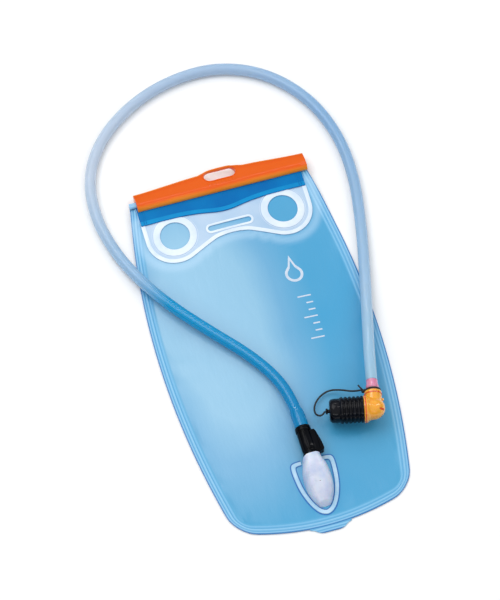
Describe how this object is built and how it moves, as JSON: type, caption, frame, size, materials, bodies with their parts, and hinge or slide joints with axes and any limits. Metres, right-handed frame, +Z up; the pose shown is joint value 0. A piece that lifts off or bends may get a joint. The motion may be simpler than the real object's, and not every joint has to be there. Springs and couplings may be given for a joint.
{
  "type": "hydration bladder",
  "caption": "Flat film water bladder with a slide-on mouth clip, quick-release drink tube and capped bite valve.",
  "frame": {"origin": "under the middle of the pouch and slider, on the surface the bladder lies on", "axes": "+X across the pouch, +Y along it towards the mouth and slider, +Z up through the front film"},
  "size_m": [0.2369, 0.4673, 0.0317],
  "materials": {
    "blue_film": "soft translucent film with a light satin sheen",
    "folded_film": "three plies of the same film, folded, deep blue",
    "milky_film": "milky translucent film",
    "weld_band": "welded band, satin white",
    "frosted_plastic": "frosted translucent moulding",
    "white_plastic": "natural moulded plastic",
    "orange_plastic": "satin moulded plastic",
    "amber_plastic": "translucent moulding",
    "pink_plastic": "translucent moulding",
    "black_plastic": "glossy moulded plastic",
    "black_rubber": "moulded rubber with a dull sheen",
    "black_cord": "thin rubber cord",
    "clear_silicone": "soft translucent silicone",
    "blue_tube": "clear blue hose",
    "spring_steel": "drawn wire"
  },
  "bodies": {
    "pouch": {"back_film": "blue_film", "front_film": "blue_film", "hang_panel": "milky_film", "mouth_flap": "folded_film", "mouth_fold": "folded_film", "lower_fold_rail": "white_plastic", "upper_fold_rail": "white_plastic", "outlet_fitting": "frosted_plastic", "outlet_weld_ring": "weld_band", "shutoff_spring": "spring_steel"},
    "slider": {"slider_clip": "orange_plastic"},
    "shutoff_valve": {"shutoff_disc": "white_plastic", "shutoff_seal": "black_rubber"},
    "hose": {"connector_body": "black_plastic", "button_spring": "spring_steel", "connector_seal": "black_rubber", "hose_barb": "black_plastic", "drink_tube": "blue_tube", "valve_barb": "pink_plastic", "valve_seal": "black_rubber"},
    "release_button": {"release_button": "black_plastic"},
    "valve_elbow": {"valve_elbow": "amber_plastic", "cap_tether": "black_cord", "tether_loop": "black_cord"},
    "mouthpiece": {"twist_core": "white_plastic", "bite_valve": "clear_silicone"},
    "dirt_cap": {"dirt_cap": "black_rubber"}
  },
  "joints": [
    {"name": "slider_slide", "type": "slide", "parent": "pouch", "child": "slider", "axis": [1, 0, 0], "range_m": [-0.028, 0.028]},
    {"name": "hose_unplug", "type": "slide", "parent": "pouch", "child": "hose", "axis": [0, 1, 0], "range_m": [0, 0.018]},
    {"name": "shutoff_close", "type": "slide", "parent": "pouch", "child": "shutoff_valve", "axis": [0, 1, 0], "range_m": [0, 0.0026], "deforming": ["shutoff_spring"]},
    {"name": "button_press", "type": "slide", "parent": "hose", "child": "release_button", "axis": [-1, 0, 0], "range_m": [0, 0.0018], "stiffness_N_per_m": 500, "deforming": ["button_spring"]},
    {"name": "elbow_swivel", "type": "hinge", "parent": "hose", "child": "valve_elbow", "pos_m": [0.0658, -0.0899, 0.0196], "axis": [0.213, 0.977, 0], "range_deg": [0, 180]},
    {"name": "valve_twist", "type": "hinge", "parent": "valve_elbow", "child": "mouthpiece", "pos_m": [0.0658, -0.0899, 0.0196], "axis": [-0.977, 0.213, 0], "range_deg": [0, 90]},
    {"name": "cap_pull", "type": "slide", "parent": "valve_elbow", "child": "dirt_cap", "axis": [-0.977, 0.213, 0], "range_m": [0, 0.012], "deforming": ["cap_tether"]}
  ],
  "couplings": [
    {"joint": "shutoff_close", "follows": "hose_unplug", "ratio": 0.14}
  ]
}
